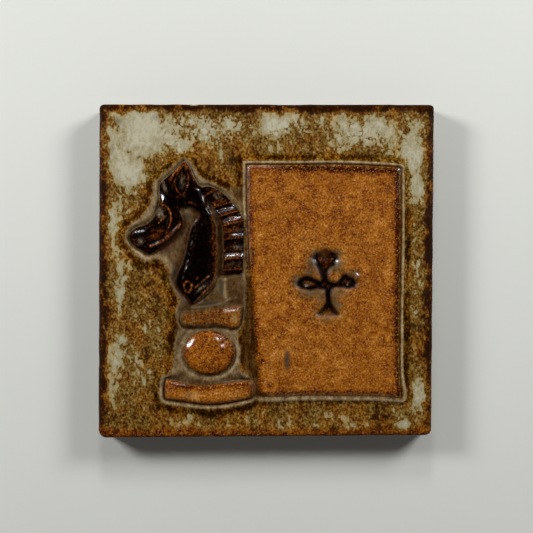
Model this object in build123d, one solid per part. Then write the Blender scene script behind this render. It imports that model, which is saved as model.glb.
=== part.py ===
from build123d import *
from math import atan2, cos, hypot, radians, sin, tan
import os

# A square stoneware relief tile, fired as one piece: a chess knight stands beside a playing card.
# Millimetres. +Z is out of the carved face, +Y is towards the top of the picture, and the origin
# is the middle of the flat back.

# Heights above the back
field_z = 9.6
margin_floor_z = 9.3
lip_z = 10.35
card_z = 10.45
shelf_z = 10.1
bar_z = 11.0
mane_bed_z = 10.2
mane_top_z = 11.15
mane_trim_z = 11.25
neck_z = 11.1
head_z = 10.9
ear_z = 11.05
cheek_top_z = 11.3
ball_top_z = 11.5

# Every raised form starts this far above the back, well inside the slab.
root_z = 8.3

# Domes start this far below the surface that they stand on.
dome_root = 0.1

# A cutter reaches this far above the surface that it opens.
cutter_overrun = 1.0

# An outline is a list of corners. A corner (x, y, radius) is rounded to that radius at most,
# and a corner (x, y) as far as the two runs beside it allow.

# The slab is not quite square
slab_outline = [(-50.1, 50.1, 1.5), (50.4, 49.9, 1.4), (49.5, -49.3, 1.9), (-50.4, -50.1, 2.1)]
front_arris_radius = 1.1
back_edge_break = 0.4

# The lip is the low ridge left round each figure where the ground was pressed back:
# the ground rises to its crest over the outer run, and the inner run falls to the margin.
lip_crest_width = 0.4
lip_outer_run = 1.4
lip_inner_run = 1.0

# The card: the outer foot of its lip, and the face inside it behind a narrow groove
card_lip = [(-8.3, 34.0, 2.6), (42.4, 33.2, 2.6), (42.7, -39.9, 2.6), (-3.8, -39.3, 2.6)]
card_face = [(-5.0, 31.4, 0.7), (39.7, 30.7, 0.7), (39.9, -37.1, 0.7), (-1.7, -36.8, 0.7)]
card_groove_z = 9.9
card_face_bevel = 0.35

# Beside the pedestal the card has no lip, and the margin runs up to its face
valley_outline = [(-8.6, -1.0), (1.0, -1.0), (2.0, -36.5), (-6.0, -36.5)]

# The club, sunk into the card
club_depth = 0.75
club_wall_run = 0.5
club_outline = [
    (17.0, -2.4, 0.5), (15.6, 1.6), (13.2, 3.6), (15.2, 6.4), (20.0, 6.6), (22.2, 3.8), (19.4, 0.9),
    (18.0, -2.4, 0.5), (20.8, -3.8), (23.2, -0.2), (27.4, -2.2), (27.0, -5.4), (19.0, -4.9, 0.5),
    (19.2, -9.4), (22.2, -13.4, 0.5), (15.0, -13.4, 0.5), (18.0, -9.4), (17.6, -5.4, 0.5),
    (8.9, -5.6), (8.9, -1.6), (12.4, -1.2),
]

# The foot of the knight's lip, round horse, collar, ball and foot. Its right side lies under the card.
knight_lip = [
    (-24.4, 35.9), (-31.6, 29.6), (-35.6, 26.4), (-35.0, 19.4), (-38.6, 15.9), (-43.4, 13.8),
    (-43.6, 7.6), (-39.4, 2.8), (-35.4, 1.2), (-31.6, 2.0), (-30.0, -4.4), (-26.6, -9.0),
    (-28.9, -13.2), (-26.8, -18.0), (-29.2, -22.6), (-28.8, -29.2), (-33.6, -31.2),
    (-33.0, -40.2), (-25.0, -41.9), (-16.5, -43.0), (-8.5, -41.9), (2.0, -39.4), (2.0, 26.0),
    (-11.6, 26.0), (-20.0, 28.6),
]

# The horse's head and neck: the head's top edge is rounded, the neck's bevelled
head_outline = [
    (-25.4, 30.6, 0.6), (-32.1, 26.8), (-31.8, 19.6), (-34.6, 14.8), (-39.6, 13.6), (-42.2, 10.2),
    (-39.4, 6.6), (-35.0, 4.6, 1.0), (-29.6, 8.2), (-24.4, 12.8), (-26.2, 17.6), (-25.0, 20.2),
    (-20.2, 18.4), (-18.0, 21.0), (-21.0, 25.0), (-24.0, 26.4),
]
neck_outline = [
    (-22.8, 23.0), (-20.8, 19.4), (-19.8, 16.2), (-22.8, 13.4), (-24.2, 5.4), (-27.6, -2.0),
    (-24.7, -6.3), (-22.6, -10.6, 1.5), (-16.0, -4.8), (-14.4, 2.0), (-14.6, 12.6), (-18.4, 24.2),
]
head_round = 0.8
neck_bevel_run = 1.0
neck_bevel_fall = 0.6

# The neck falls away in a broad slope to the left of its crest line, given as (top, low).
neck_crest = ((-20.9, 14.8), (-24.4, -1.0))
neck_slope_angle = 33

# The ear is bevelled all round and scooped out to an almond.
ear_outline = [
    (-24.6, 32.7, 0.6), (-28.4, 28.2), (-30.8, 21.8), (-25.0, 20.6), (-19.2, 23.6), (-21.6, 29.4),
]
ear_bevel = 0.5
ear_hollow_outline = [
    (-24.5, 31.2, 0.4), (-27.9, 27.2), (-25.0, 22.2, 0.5), (-22.8, 27.0),
]
ear_hollow_depth = 0.8
ear_hollow_run = 0.4

# The cheek is a low dome on the head: centre and half-axes in plan
cheek_centre = (-28.0, 16.0)
cheek_half_axes = (1.6, 2.7)

# Round hollows with sloping walls and a blunt foot: (x, y, radius at the mouth, depth)
eye_hollow = (-30.95, 17.3, 1.05, 0.5)
nostril_hollow = (-37.6, 9.1, 1.4, 0.6)
neck_hollow = (-23.2, -4.7, 1.0, 0.35)
hollow_foot_share = 0.45

# Narrow V-shaped grooves, each an arc through three points: along the jaw, in front of the cheek,
# and between the cords that wrap the foot of the neck
jaw_groove = [(-35.1, 7.2), (-30.8, 9.6), (-27.4, 12.6)]
cheek_groove = [(-30.1, 15.9), (-29.95, 14.3), (-30.6, 12.4)]
neck_grooves = [
    [(-21.4, -3.9), (-19.3, -2.3), (-17.4, -0.1)], [(-21.8, -6.9), (-19.3, -5.0), (-17.2, -2.4)],
]
groove_width = 0.6
groove_depth = 0.5

# The mane: its outline, and the crest line of each lock in it as (root, tip), from the top down.
# From its crest a lock falls slowly upwards and drops at once on its lower side.
mane_outline = [
    (-19.8, 24.8, 0.9), (-15.0, 25.8), (-9.6, 20.6), (-6.4, 15.4), (-6.6, 6.0), (-6.7, -0.8, 0.7),
    (-13.0, -1.0, 0.7), (-12.8, 9.0), (-15.4, 18.2),
]
lock_crests = [
    ((-18.6, 22.2), (-14.6, 24.6)), ((-16.0, 18.8), (-10.2, 20.6)), ((-14.8, 16.0), (-8.5, 17.9)),
    ((-13.4, 13.3), (-6.8, 15.0)), ((-12.9, 11.3), (-6.5, 12.2)), ((-12.8, 9.3), (-6.5, 10.1)),
    ((-12.8, 6.0), (-6.4, 6.5)), ((-12.8, 3.3), (-6.8, 3.9)), ((-12.9, 0.2), (-7.0, 0.5)),
]
lock_overrun = 1.5
lock_slope_run = 3.2
lock_slope_fall = 0.85
lock_drop_run = 0.3
mane_edge_bevel = 0.5

# The shelf under the neck, the collar, the ball and the foot
shelf_outline = [
    (-22.6, -10.6, 0.6), (-17.4, -6.4), (-15.4, -1.4), (-6.4, -0.8), (-6.2, -9.2), (-13.0, -9.6),
]
shelf_bevel = 0.4
collar_outline = [
    (-25.3, -12.6, 1.4), (-16.0, -11.4), (-6.8, -9.8, 0.9), (-7.7, -17.6, 2.2), (-16.0, -16.5),
    (-25.2, -17.2, 1.4),
]
foot_outline = [
    (-30.0, -32.2, 1.3), (-19.0, -34.8), (-4.2, -32.4, 1.3), (-3.8, -36.9, 1.4), (-16.5, -39.7),
    (-30.2, -37.4, 1.3),
]
bar_round = 1.2
ball_centre = (-17.1, -24.4)
ball_half_axes = (7.8, 6.8)


def top_edges(form):
    return form.edges().group_by(Axis.Z)[-1]


def bottom_edges(form):
    return form.edges().group_by(Axis.Z)[0]


def turn_and_run(before, corner, after):
    """How far an outline turns at a corner, in radians, and the shorter of the two runs beside it."""
    run_in = (corner[0] - before[0], corner[1] - before[1])
    run_out = (after[0] - corner[0], after[1] - corner[1])
    cross = run_in[0] * run_out[1] - run_in[1] * run_out[0]
    dot = run_in[0] * run_out[0] + run_in[1] * run_out[1]
    return abs(atan2(cross, dot)), min(hypot(*run_in), hypot(*run_out))


def outline_face(corners):
    """A flat face from an outline, with every corner rounded by an arc."""
    share_of_run = 0.47
    radii = []
    for i, corner in enumerate(corners):
        turn, run = turn_and_run(corners[i - 1], corner, corners[(i + 1) % len(corners)])
        widest = share_of_run * run / tan(turn / 2)
        radii.append(min(widest, corner[2]) if len(corner) == 3 else widest)
    points = [corner[:2] for corner in corners]
    return make_face(FilletPolyline(*points, radius=radii, close=True))


def raised(face, base_z, top_z):
    """A face raised from base_z to top_z, with sharp edges."""
    return Pos(0, 0, base_z) * extrude(face, amount=top_z - base_z)


def rounded(form, edge_round):
    """A form with the edge of its top rounded."""
    return fillet(top_edges(form), edge_round)


def sloped(form, run, fall):
    """A form with the edge of its top sloped off: run in plan, fall in height."""
    return chamfer(top_edges(form), fall, run)


def sunk(face, top_z, floor_z, wall_run):
    """A cutter from top_z down to floor_z whose walls lean in by wall_run."""
    cutter = Pos(0, 0, floor_z) * extrude(face, amount=top_z - floor_z + cutter_overrun)
    return chamfer(bottom_edges(cutter), top_z - floor_z, wall_run)


def dome(centre, half_axes, base_z, top_z):
    """A low dome that rises from base_z to top_z over an oval plan."""
    rise = top_z - base_z
    reach = half_axes[0]
    radius = (reach ** 2 + rise ** 2) / (2 * rise)
    ball = Sphere(radius) - Pos(0, 0, -rise) * Box(4 * radius, 4 * radius, 2 * radius)
    ball = Pos(0, 0, rise - radius) * ball
    cap = scale(ball, by=(1, half_axes[1] / half_axes[0], 1))
    return Pos(centre[0], centre[1], base_z) * cap


def hollow(place, surface_z):
    """The cutter of a round hollow: it flares evenly from the foot through the mouth."""
    x, y, mouth_radius, depth = place
    flare = mouth_radius * (1 - hollow_foot_share)
    return Pos(x, y, surface_z) * Cone(mouth_radius - flare, mouth_radius + flare, 2 * depth)


def groove(points, surface_z):
    """The cutter of a V-shaped groove along an arc through three points."""
    path = Pos(0, 0, surface_z) * ThreePointArc(*points)
    along = path % 0
    profile = Polyline((-groove_width / 2, 0), (0, -groove_depth), (groove_width / 2, 0), close=True)
    start = Plane(origin=path @ 0, x_dir=(-along.Y, along.X, 0), z_dir=along)
    return sweep(start * make_face(profile), path=path)


def slab():
    body = extrude(outline_face(slab_outline), amount=field_z)
    body = rounded(body, front_arris_radius)
    return chamfer(bottom_edges(body), back_edge_break)


def knight_ground(body):
    """The knight's lip, and the margin that slopes down inside it."""
    foot = outline_face(knight_lip)
    rise = lip_z - field_z
    body = body + sloped(raised(foot, root_z, lip_z), lip_outer_run, rise)
    inner = offset(foot, amount=-lip_outer_run - lip_crest_width)
    return body - sunk(inner, lip_z, margin_floor_z, lip_inner_run)


def card(body):
    """The card's lip, the groove inside it and the flat face with the sunk club."""
    foot = outline_face(card_lip)
    rise = lip_z - field_z
    body = body + sloped(raised(foot, root_z, lip_z), lip_outer_run, rise)
    inner = offset(foot, amount=-lip_outer_run - lip_crest_width)
    cutter_z = card_z + cutter_overrun
    body = body - raised(inner, card_groove_z, cutter_z)
    body = body - raised(outline_face(valley_outline), margin_floor_z, cutter_z)
    face = raised(outline_face(card_face), root_z, card_z)
    body = body + sloped(face, card_face_bevel, card_face_bevel)
    return body - sunk(outline_face(club_outline), card_z, card_z - club_depth, club_wall_run)


def neck():
    """The neck, bevelled along its right side and sloping away broadly on its left."""
    form = sloped(raised(outline_face(neck_outline), root_z, neck_z), neck_bevel_run, neck_bevel_fall)
    top, low = neck_crest
    run = hypot(top[0] - low[0], top[1] - low[1])
    left = ((low[1] - top[1]) / run, (top[0] - low[0]) / run)
    tilt = radians(neck_slope_angle)
    slope = Plane(origin=(*low, neck_z), z_dir=(left[0] * sin(tilt), left[1] * sin(tilt), cos(tilt)))
    return split(form, bisect_by=slope, keep=Keep.BOTTOM)


def horse():
    """The head with its ear, cheek, eye and nostril, and the neck with the cords at its foot."""
    form = rounded(raised(outline_face(head_outline), root_z, head_z), head_round)
    form = form + sloped(raised(outline_face(ear_outline), root_z, ear_z), ear_bevel, ear_bevel)
    scoop_z = ear_z - ear_hollow_depth
    form = form - sunk(outline_face(ear_hollow_outline), ear_z, scoop_z, ear_hollow_run)
    form = form + dome(cheek_centre, cheek_half_axes, head_z - dome_root, cheek_top_z)
    form = form - hollow(eye_hollow, head_z) - hollow(nostril_hollow, head_z)
    form = form - groove(jaw_groove, head_z) - groove(cheek_groove, head_z)
    body = neck() - hollow(neck_hollow, neck_z)
    for points in neck_grooves:
        body = body - groove(points, neck_z)
    return form + body


def lock(root, tip):
    """One lock of the mane: a sharp crest, a long slope above it and a short drop below."""
    foot = mane_bed_z - mane_top_z
    profile = Polyline(
        (-lock_drop_run, foot), (0, 0), (lock_slope_run, -lock_slope_fall), (lock_slope_run, foot),
        close=True,
    )
    run = (tip[0] - root[0], tip[1] - root[1], 0)
    middle = ((root[0] + tip[0]) / 2, (root[1] + tip[1]) / 2, mane_top_z)
    section = Plane(origin=middle, x_dir=(-run[1], run[0], 0), z_dir=run) * make_face(profile)
    return extrude(section, amount=hypot(*run) / 2 + lock_overrun, both=True)


def mane():
    """The mane: locks like a saw's teeth, trimmed to its outline, over a low bed."""
    outline = outline_face(mane_outline)
    locks = Part()
    for root, tip in lock_crests:
        locks = locks + lock(root, tip)
    trim = sloped(raised(outline, root_z, mane_trim_z), mane_edge_bevel, mane_edge_bevel)
    return raised(outline, root_z, mane_bed_z) + (locks & trim)


def pedestal():
    """The shelf under the neck, the collar, the ball and the foot."""
    form = sloped(raised(outline_face(shelf_outline), root_z, shelf_z), shelf_bevel, shelf_bevel)
    form = form + rounded(raised(outline_face(collar_outline), root_z, bar_z), bar_round)
    form = form + dome(ball_centre, ball_half_axes, margin_floor_z - dome_root, ball_top_z)
    return form + rounded(raised(outline_face(foot_outline), root_z, bar_z), bar_round)


tile = slab()
tile = knight_ground(tile)
tile = card(tile)
tile = tile + horse() + mane() + pedestal()
tile.label = "carved_tile"

os.makedirs("parts", exist_ok=True)
export_step(tile, "parts/carved_tile.step")
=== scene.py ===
import math

import bpy
import numpy as np
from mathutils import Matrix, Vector


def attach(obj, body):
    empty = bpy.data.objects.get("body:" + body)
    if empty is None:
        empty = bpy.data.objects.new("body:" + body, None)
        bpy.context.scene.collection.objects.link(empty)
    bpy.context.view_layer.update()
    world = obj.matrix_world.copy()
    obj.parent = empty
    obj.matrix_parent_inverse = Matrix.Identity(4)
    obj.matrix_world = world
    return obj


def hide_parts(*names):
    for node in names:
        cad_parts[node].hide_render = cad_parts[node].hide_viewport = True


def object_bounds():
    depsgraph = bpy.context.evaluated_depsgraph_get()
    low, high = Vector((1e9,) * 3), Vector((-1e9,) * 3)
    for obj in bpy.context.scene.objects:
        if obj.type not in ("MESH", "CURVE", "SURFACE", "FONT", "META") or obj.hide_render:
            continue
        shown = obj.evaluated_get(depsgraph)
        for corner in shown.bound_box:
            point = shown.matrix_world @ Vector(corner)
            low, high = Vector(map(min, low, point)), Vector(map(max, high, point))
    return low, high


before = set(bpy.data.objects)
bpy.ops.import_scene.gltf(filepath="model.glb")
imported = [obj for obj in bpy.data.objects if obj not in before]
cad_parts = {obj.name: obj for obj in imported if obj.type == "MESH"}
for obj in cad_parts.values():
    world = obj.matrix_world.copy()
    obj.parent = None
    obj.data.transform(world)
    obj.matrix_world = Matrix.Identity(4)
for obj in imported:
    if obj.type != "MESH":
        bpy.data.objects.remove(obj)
cad_low, cad_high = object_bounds()

# A square stoneware relief tile lying face up: a chess knight stands beside a playing card.
# Plan shapes are in millimetres in the frame of the solid: +X to the right of the picture,
# +Y towards its top, +Z out of the carved face. MM turns them into metres.
MM = 0.001
NODE = "carved_tile"
PIECE = "carved_tile_glazed"

# Heights above the back
FIELD_Z = 9.6
MARGIN_Z = 9.35
LIP_Z = 10.3
CARD_Z = 10.45
SHELF_Z = 10.0
BAR_Z = 10.95
MANE_BED_Z = 10.15
HEAD_Z = 10.9
EAR_Z = 11.05
NECK_Z = 11.1
BALL_Z = 11.4
TOP_Z = cad_high.z / MM - 0.02

# The slab: its corners, clockwise from the top left, and how far each is rounded
SLAB_CORNERS = [(-50.1, 50.05), (50.33, 49.88), (49.5, -49.25), (-50.35, -50.05)]
SLAB_RADII = [1.5, 1.3, 1.9, 2.6]
ARRIS_RADIUS = 1.1
BACK_BREAK = 0.4
EDGE_WAVE = 0.14

# Rings of points down the sides and round the back, as (height, inset)
SIDE_RINGS = [(6.5, 0), (3, 0), (BACK_BREAK, 0), (0, BACK_BREAK)]

# The runs over which the lips rise from the ground, and the depths of what is sunk
KNIGHT_LIP_RUN = 2.4
CARD_LIP_RUN = 2.0
GROOVE_DEPTH = 0.4
CLUB_DEPTH = 0.85
EAR_HOLLOW_DEPTH = 0.8

# How far in from its outline each form is rounded, and how much the ball swells inside that
COLLAR_ROUND = 1.5
FOOT_ROUND = 1.6
BALL_ROUND = 2.4
BALL_SWELL = 0.35
HEAD_ROUND = 1.2
EAR_ROUND = 1.0
MANE_ROUND = 0.8
NECK_ROUND_RIGHT = 0.9
NECK_ROUND_LEFT = 2.3

# The neck's axis: where it crosses y = 0, and how far it leans to the right per millimetre of y
NECK_AXIS_X = -19.2
NECK_LEAN = 0.13

# A lock of the mane falls from its crest by these factors: above it, below it and towards its tip
LOCK_FALL = 0.24
LOCK_DROP = 1.6
LOCK_BEND = 1.3


def grid_axis(stretches):
    """Stations along one axis from (start, end, step) stretches, both ends included."""
    stations = []
    for start, end, step in stretches:
        count = max(1, round((end - start) / step))
        stations.extend(start + (end - start) * i / count for i in range(count))
    stations.append(stretches[-1][1])
    return np.array(stations)


# The face is one grid of points, finest over the knight and the edges of the card.
COLUMNS = grid_axis([
    (-50, -49.4, 0.2), (-49.4, -48.6, 0.4), (-48.6, -43.2, 0.7), (-43.2, -3.2, 0.25),
    (-3.2, 8.2, 0.7), (8.2, 28.2, 0.36), (28.2, 38.6, 0.8), (38.6, 42.2, 0.26),
    (42.2, 48.6, 0.7), (48.6, 49.4, 0.4), (49.4, 50, 0.2),
])
ROWS = grid_axis([
    (-50, -49.4, 0.2), (-49.4, -48.6, 0.4), (-48.6, -42, 0.7), (-42, -30.6, 0.28),
    (-30.6, -18.4, 0.32), (-18.4, 34.2, 0.255), (34.2, 48.6, 0.7), (48.6, 49.4, 0.4),
    (49.4, 50, 0.2),
])
HALF = 50.0


def step(value, low, high):
    """0 below low, 1 above high and a smooth rise between."""
    t = np.clip((value - low) / (high - low), 0.0, 1.0)
    return t * t * (3.0 - 2.0 * t)


def quarter_round(depth, reach):
    """The rise of a rounded edge: 0 at the outline, 1 from reach inwards."""
    t = 1.0 - np.clip(depth / reach, 0.0, 1.0)
    return np.sqrt(1.0 - t * t)


def mix(low, high, share):
    return low + (high - low) * share


def band(value, middle, width):
    """1 where the value is at the middle, falling to nothing about two widths away."""
    return np.exp(-((value - middle) / width) ** 2)


def strongest(*fields):
    """The highest of several fields at each grid point."""
    return np.max(fields, axis=0)


def value_noise(x, y, size, seed):
    """Smooth noise from -1 to 1 whose lumps are about size millimetres across."""
    rng = np.random.default_rng(seed)
    table = rng.uniform(-1.0, 1.0, (64, 64))
    u = x / size + 200.0
    v = y / size + 200.0
    iu = np.floor(u).astype(int)
    iv = np.floor(v).astype(int)
    fu = u - iu
    fv = v - iv
    fu = fu * fu * (3.0 - 2.0 * fu)
    fv = fv * fv * (3.0 - 2.0 * fv)
    low = mix(table[iu % 64, iv % 64], table[(iu + 1) % 64, iv % 64], fu)
    high = mix(table[iu % 64, (iv + 1) % 64], table[(iu + 1) % 64, (iv + 1) % 64], fu)
    return mix(low, high, fv)


def slab_points():
    """The grid laid over the slab, with rounded corners, and each point's depth inside its edge."""
    u, v = np.meshgrid(COLUMNS / HALF, ROWS / HALF)
    top_left, top_right, low_right, low_left = [np.array(c) for c in SLAB_CORNERS]
    s = ((u + 1) / 2)[..., None]
    t = ((v + 1) / 2)[..., None]
    plan = mix(mix(low_left, low_right, s), mix(top_left, top_right, s), t)
    x, y = plan[..., 0], plan[..., 1]
    edge_x = np.where(u < 0, (u + 1), (1 - u)) * HALF
    edge_y = np.where(v < 0, (v + 1), (1 - v)) * HALF
    depth = np.minimum(edge_x, edge_y)
    for corner, radius in zip(SLAB_CORNERS, SLAB_RADII):
        side_x = 1 if corner[0] > 0 else -1
        side_y = 1 if corner[1] > 0 else -1
        here = (u * side_x > 0) & (v * side_y > 0) & (edge_x < radius) & (edge_y < radius)
        out_x = radius - edge_x[here]
        out_y = radius - edge_y[here]
        shrink = np.maximum(out_x, out_y) / np.maximum(np.hypot(out_x, out_y), 1e-9)
        x[here] -= side_x * out_x * (1 - shrink)
        y[here] -= side_y * out_y * (1 - shrink)
    wave = EDGE_WAVE * (0.5 + 0.5 * value_noise(x, y, 4.5, 3)) * np.exp(-depth / 1.5)
    x = x - np.sign(u) * wave * (edge_x < edge_y)
    y = y - np.sign(v) * wave * (edge_x >= edge_y)
    return x, y, depth


PX, PY, EDGE = slab_points()


def smooth_curve(points, closed, steps=6):
    """A curve through the points, as a fine polyline."""
    ends = (points[-1:], points[:2]) if closed else (points[:1], points[-1:])
    p = np.array([*ends[0], *points, *ends[1]], float)
    t = (np.arange(steps) / steps)[:, None]
    curve = [
        0.5 * (2 * b + (c - a) * t + (2 * a - 5 * b + 4 * c - d) * t ** 2
               + (3 * b - a - 3 * c + d) * t ** 3)
        for a, b, c, d in zip(p, p[1:], p[2:], p[3:])
    ]
    return np.vstack(curve if closed else [*curve, p[-1:]])


def segment_distance(x, y, start, end):
    """Squared distance from each point to a segment."""
    run = end - start
    along = ((x - start[0]) * run[0] + (y - start[1]) * run[1]) / max(run @ run, 1e-12)
    along = np.clip(along, 0.0, 1.0)
    return (x - start[0] - along * run[0]) ** 2 + (y - start[1] - along * run[1]) ** 2


def near(curve, reach):
    """The grid points within reach of a curve's box."""
    low = curve.min(0) - reach
    high = curve.max(0) + reach
    return (PX > low[0]) & (PX < high[0]) & (PY > low[1]) & (PY < high[1])


def inside(points, reach=8.0):
    """How deep each grid point is inside a closed outline, in millimetres, negative outside."""
    loop = smooth_curve(points, closed=True)
    result = np.full(PX.shape, -reach)
    here = near(loop, reach)
    x, y = PX[here], PY[here]
    best = np.full(x.shape, reach ** 2)
    within = np.zeros(x.shape, bool)
    for start, end in zip(loop, np.roll(loop, -1, axis=0)):
        best = np.minimum(best, segment_distance(x, y, start, end))
        crosses = (start[1] > y) != (end[1] > y)
        slope = (end[0] - start[0]) / (end[1] - start[1] + 1e-12)
        within ^= crosses & (x < start[0] + slope * (y - start[1]))
    result[here] = np.where(within, 1.0, -1.0) * np.sqrt(best)
    return result


def away(points, reach, smooth=True):
    """How far each grid point is from an open line, in millimetres."""
    line = smooth_curve(points, closed=False) if smooth else np.array(points, float)
    result = np.full(PX.shape, reach)
    here = near(line, reach)
    x, y = PX[here], PY[here]
    best = np.full(x.shape, reach ** 2)
    for start, end in zip(line[:-1], line[1:]):
        best = np.minimum(best, segment_distance(x, y, start, end))
    result[here] = np.sqrt(best)
    return result


def line_mask(points, width, smooth=True):
    """1 on a line and falling to nothing about two widths away."""
    return band(away(points, 5 * width, smooth), 0.0, width)


def blob(x, y, half_x, half_y=None, tilt=0.0):
    """A soft oval spot: 1 at its middle, about a third at its half-axes."""
    half_y = half_y or half_x
    turn = math.radians(tilt)
    dx = (PX - x) * math.cos(turn) + (PY - y) * math.sin(turn)
    dy = (PY - y) * math.cos(turn) - (PX - x) * math.sin(turn)
    return np.exp(-((dx / half_x) ** 2 + (dy / half_y) ** 2))


def patch_mask(patches):
    """The strongest of a list of soft spots at each grid point."""
    result = np.zeros(PX.shape)
    for *spot, amount in patches:
        result = np.maximum(result, amount * blob(*spot))
    return result


def soften(field, passes=1):
    """The field with each point drawn halfway to the mean of its neighbours."""
    for _ in range(passes):
        padded = np.pad(field, 1, mode="edge")
        mean = (padded[:-2, 1:-1] + padded[2:, 1:-1] + padded[1:-1, :-2] + padded[1:-1, 2:]) / 4
        field = (field + mean) / 2
    return field


# Outlines traced in millimetres
CARD_CREST = [
    (-6.6, 31.4), (-6.1, 32.3), (-4.5, 32.5), (10, 32.5), (22, 32.6), (34, 32.1), (39.6, 31.7),
    (40.7, 31.1), (40.9, 29.5), (40.9, 10), (40.6, -8), (40.5, -24), (40.6, -31),
    (41.1, -36.4), (41, -38), (39.6, -38.5), (33, -38), (24, -37.9), (12, -37.8),
    (2, -38.2), (-2.2, -37.9), (-3, -36.4), (-3.7, -30), (-4.6, -20), (-5.2, -8),
    (-5.9, 6), (-6.5, 20),
]
CLUB = [
    (16.4, -2.9), (15.9, -0.4), (15.2, 1.4), (14.3, 2.9), (14, 4.2), (14.8, 5.2), (16.4, 5.9),
    (18.1, 6.1), (19.8, 5.6), (21, 4.6), (21.3, 3.3), (20.5, 2), (19.2, 0.7), (18.4, -0.8),
    (18.7, -2.8), (20.6, -3.6), (21.8, -2.8), (22.7, -1.4), (23.7, -1), (24.9, -1.8),
    (26.3, -2.6), (26.9, -3.6), (26.4, -4.7), (24.8, -5.1), (22.5, -4.9), (20.3, -5),
    (19.4, -6.2), (19.2, -8.3), (19.9, -10.4), (21, -12), (21.6, -13.1), (18.6, -13.5),
    (15.5, -13.1), (15.7, -12.2), (17, -10.8), (17.8, -9.2), (17.8, -7.2), (17.2, -5.7),
    (15.4, -5.3), (13.2, -5.6), (11, -5.3), (9.6, -4.7), (9.3, -3.6), (10.2, -2.2), (11.9, -1.6),
    (13.6, -2), (15.2, -2.7),
]
KNIGHT_CREST = [
    (-24.5, 33.7), (-25.6, 33.1), (-27.6, 31.5), (-30, 29.4), (-31.9, 27.6), (-33.5, 26.2),
    (-33.8, 24), (-34.2, 21.4), (-35.1, 19), (-36.6, 16.7), (-38.4, 15.1), (-40, 14),
    (-41.4, 12.5), (-42, 10.8), (-41.7, 8.8), (-40.5, 6.8), (-39, 5), (-37.2, 3.4),
    (-35.4, 3), (-33.4, 3.5), (-31.6, 3.1), (-30.1, 1.9), (-29.2, 0.3), (-29.1, -2.3),
    (-28.2, -4.8), (-26.8, -7), (-25.9, -8.6), (-26.7, -10.6), (-27.1, -13), (-26.6, -15.4),
    (-25.9, -17.4), (-26.9, -19.4), (-27.5, -22), (-27.6, -26), (-27.9, -29), (-29.2, -31),
    (-31, -31.8), (-31.6, -33.4), (-31.7, -36.6), (-31.2, -38.9), (-29.3, -39.6), (-25, -40.3),
    (-20, -40.9), (-15.5, -41), (-11, -40.5), (-7, -39.7), (-4.2, -38.9), (-2.8, -37.4),
    (-3.2, -34.4), (-4.4, -32.2), (-6.6, -31), (-8.2, -29), (-8.4, -26), (-8.3, -21.5),
    (-8.6, -18.6), (-7.2, -16.4), (-6.4, -13.2), (-6.2, -10), (-6, -5), (-6.2, 2),
    (-6.5, 9), (-6.9, 14.6), (-7.9, 18), (-9.6, 20.9), (-11.9, 23.9), (-13.5, 24.8),
    (-16.8, 26.5), (-19.8, 28.1), (-21.4, 30.2), (-22.6, 32.3),
]
HEAD = [
    (-25.4, 32), (-27.4, 30.3), (-29.2, 28.6), (-30.8, 27.2), (-31.9, 25.8), (-31.9, 23),
    (-31.9, 20.6), (-32.7, 18.3), (-33.4, 16.4), (-34.6, 14.9), (-36.2, 13.8), (-38.8, 13),
    (-40.6, 11.6), (-41.1, 10), (-40.4, 8.4), (-38.8, 6.9), (-36.9, 6.1), (-35.2, 5),
    (-33.8, 5.6), (-31.9, 6.8), (-29.9, 8.4), (-28, 10), (-26.4, 11.5), (-25.2, 12.9),
    (-24.9, 14.6), (-25.3, 16.3), (-25.9, 17.9), (-25.2, 19), (-23.8, 19.3), (-22.2, 19),
    (-20.6, 18.2), (-18.6, 18.6), (-17.6, 20.6), (-18.4, 24.2), (-20.4, 25.8), (-22.6, 28),
    (-24.2, 30.4),
]
NECK = [
    (-20.2, 23.6), (-22.4, 22.4), (-21.4, 19), (-20.1, 17), (-20.9, 15.2), (-22.4, 13.2),
    (-23.4, 9.6), (-24.2, 5.8), (-25.3, 2.2), (-26.7, -0.8), (-27.2, -3.2), (-26.4, -5.3),
    (-24.9, -7), (-23.4, -8.6), (-22.6, -10), (-21, -9.4), (-18, -6.6), (-16.4, -4.6),
    (-15.5, -2.6), (-14.9, 0.6), (-14.7, 5), (-14.9, 10), (-15.2, 13.4), (-16.4, 16.6),
    (-17.8, 19.8), (-19, 22),
]
EAR = [
    (-24.6, 32.9), (-25.6, 31.9), (-26.9, 30.2), (-28.2, 28), (-29, 25.6), (-29.7, 23.6),
    (-30.2, 21.9), (-27, 21), (-23, 21.4), (-19.8, 24.4), (-20.9, 26.6), (-21.8, 28.6),
    (-22.6, 30.6), (-23.6, 32.2),
]
EAR_HOLLOW = [
    (-24.6, 31.5), (-26.1, 29.6), (-27.2, 27.3), (-27, 25), (-26, 23.5), (-25, 22.8),
    (-24.1, 24.2), (-23.4, 26.2), (-23.4, 28.4), (-23.8, 30.2),
]
MANE = [
    (-19.4, 24.6), (-17.6, 25.4), (-15.2, 24.8), (-13, 23.4), (-11.3, 21.9), (-9.4, 19.8),
    (-8, 18), (-7, 15.9), (-6.5, 13), (-6.6, 10), (-6.6, 6), (-6.8, 2), (-7.2, -0.4),
    (-9.6, -0.7), (-12.7, -1), (-12.9, 2), (-12.8, 7), (-12.9, 11.6), (-13.4, 14.6),
    (-14.7, 17), (-16.2, 19.6), (-18, 22.2),
]
SHELF = [
    (-22.4, -10.6), (-20.6, -9.4), (-18, -7), (-16.2, -5.2), (-15.2, -2.4), (-13, -1.2),
    (-9, -1), (-6.4, -1.6), (-6.2, -5), (-6.3, -8.6), (-9, -9), (-13, -9.6),
    (-18, -10.4),
]
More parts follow.
